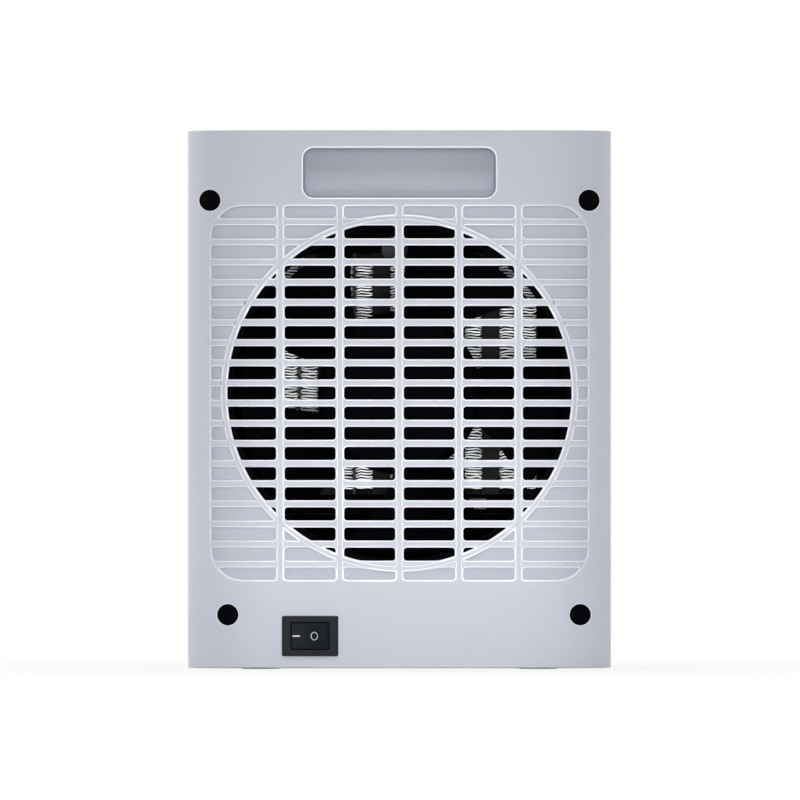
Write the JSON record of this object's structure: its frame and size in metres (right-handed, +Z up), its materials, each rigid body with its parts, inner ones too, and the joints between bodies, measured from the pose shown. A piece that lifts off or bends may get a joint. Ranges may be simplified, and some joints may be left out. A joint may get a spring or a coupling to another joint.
{
  "type": "upright ceramic fan heater",
  "caption": "Small upright fan heater: prism casing with a rear grille, carry recess and rocker switch, axial fan, finned ceramic heating core and front louvres.",
  "frame": {"origin": "on the floor under the middle of the whole object, the switch that stands out at the rear included", "axes": "+Z up, +Y out of the front louvres, +X to the right for someone who looks at the rear grille"},
  "size_m": [0.158, 0.1226, 0.201],
  "materials": {
    "rear_cover": "fine matte",
    "front_housing": "fine matte",
    "front_grille": "fine matte",
    "control_panel": "polished",
    "button_power": "satin",
    "button_up": "satin",
    "button_down": "satin",
    "control_board": "solder mask",
    "tact_switches": "moulded",
    "indicator_lights": "clear lens",
    "power_board": "solder mask",
    "relays": "moulded",
    "filter_capacitor": "dipped",
    "lead_connectors": "moulded",
    "tilt_switch": "moulded",
    "fan_duct": "moulded",
    "fan_impeller": "satin moulded",
    "motor_can": "zinc plated",
    "motor_end_cap": "moulded",
    "motor_magnets": "sintered",
    "motor_armature": "lacquered windings",
    "motor_shaft": "ground",
    "motor_bushes": "sintered bronze",
    "motor_screws": "zinc plated",
    "heater_frame_top": "heat-resistant moulding",
    "heater_frame_bottom": "heat-resistant moulding",
    "ptc_tubes": "wrapped in dark film",
    "heater_fins": "bright foil",
    "fin_plates": "bright sheet",
    "heater_terminals": "stamped",
    "thermal_cutout": "ceramic-like",
    "thermal_fuse": "ceramic-like",
    "switch_body": "satin moulded",
    "switch_rocker": "satin moulded",
    "switch_terminals": "stamped",
    "cord_gland": "matte",
    "rubber_feet": "matte",
    "cover_screws": "zinc plated",
    "screw_plugs": "matte",
    "duct_screws": "zinc plated",
    "board_screws": "zinc plated"
  },
  "bodies": {
    "casing": {"rear_cover": "rear_cover", "front_housing": "front_housing", "front_grille": "front_grille", "control_panel": "control_panel", "control_board": "control_board", "tact_switches": "tact_switches", "indicator_lights": "indicator_lights", "power_board": "power_board", "relays": "relays", "filter_capacitor": "filter_capacitor", "lead_connectors": "lead_connectors", "tilt_switch": "tilt_switch", "fan_duct": "fan_duct", "motor_can": "motor_can", "motor_end_cap": "motor_end_cap", "motor_magnets": "motor_magnets", "motor_bushes": "motor_bushes", "motor_screws": "motor_screws", "heater_frame_top": "heater_frame_top", "heater_frame_bottom": "heater_frame_bottom", "ptc_tubes": "ptc_tubes", "heater_fins": "heater_fins", "fin_plates": "fin_plates", "heater_terminals": "heater_terminals", "thermal_cutout": "thermal_cutout", "thermal_fuse": "thermal_fuse", "switch_body": "switch_body", "switch_terminals": "switch_terminals", "cord_gland": "cord_gland", "rubber_feet": "rubber_feet", "cover_screws": "cover_screws", "screw_plugs": "screw_plugs", "duct_screws": "duct_screws", "board_screws": "board_screws"},
    "rotor": {"fan_impeller": "fan_impeller", "motor_shaft": "motor_shaft", "motor_armature": "motor_armature"},
    "paddle": {"switch_rocker": "switch_rocker"},
    "power_key": {"button_power": "button_power"},
    "up_key": {"button_up": "button_up"},
    "down_key": {"button_down": "button_down"}
  },
  "joints": [
    {"name": "fan_spin", "type": "hinge", "parent": "casing", "child": "rotor", "pos_m": [0, -0.04471, 0.10305], "axis": [0, 1, 0], "continuous": true},
    {"name": "rocker_tilt", "type": "hinge", "parent": "casing", "child": "paddle", "pos_m": [-0.0333, -0.05331, 0.0125], "axis": [0, 0, 1], "range_deg": [0, 26.4]},
    {"name": "power_press", "type": "slide", "parent": "casing", "child": "power_key", "axis": [0, 0, -1], "range_m": [0, 0.0006], "stiffness_N_per_m": 600, "springref_m": -0.0005},
    {"name": "up_press", "type": "slide", "parent": "casing", "child": "up_key", "axis": [0, 0, -1], "range_m": [0, 0.0006], "stiffness_N_per_m": 600, "springref_m": -0.0005},
    {"name": "down_press", "type": "slide", "parent": "casing", "child": "down_key", "axis": [0, 0, -1], "range_m": [0, 0.0006], "stiffness_N_per_m": 600, "springref_m": -0.0005}
  ]
}
